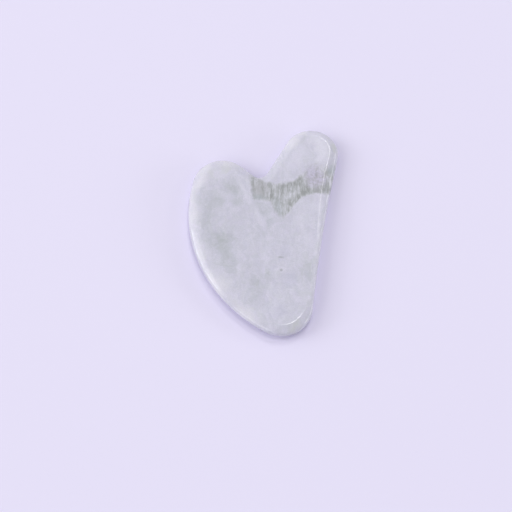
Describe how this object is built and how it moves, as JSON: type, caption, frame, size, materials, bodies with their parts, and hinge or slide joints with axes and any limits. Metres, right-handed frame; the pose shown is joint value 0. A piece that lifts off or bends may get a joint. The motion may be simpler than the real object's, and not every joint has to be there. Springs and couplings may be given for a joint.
{
  "type": "gua sha scraper",
  "caption": "Flat gua sha scraper of polished pale stone with a high and a low lobe, a notch between them, a rounded tip and a softly rounded border, for facial massage.",
  "frame": {"origin": "middle of the outline's bounding box, on the back face", "axes": "+Z out of the front face, +Y along the length towards the lobes, +X towards the high lobe's side"},
  "size_m": [0.0564, 0.084, 0.0055],
  "materials": {
    "jade": "polished"
  },
  "bodies": {
    "root": {"stone": "jade"}
  },
  "joints": []
}
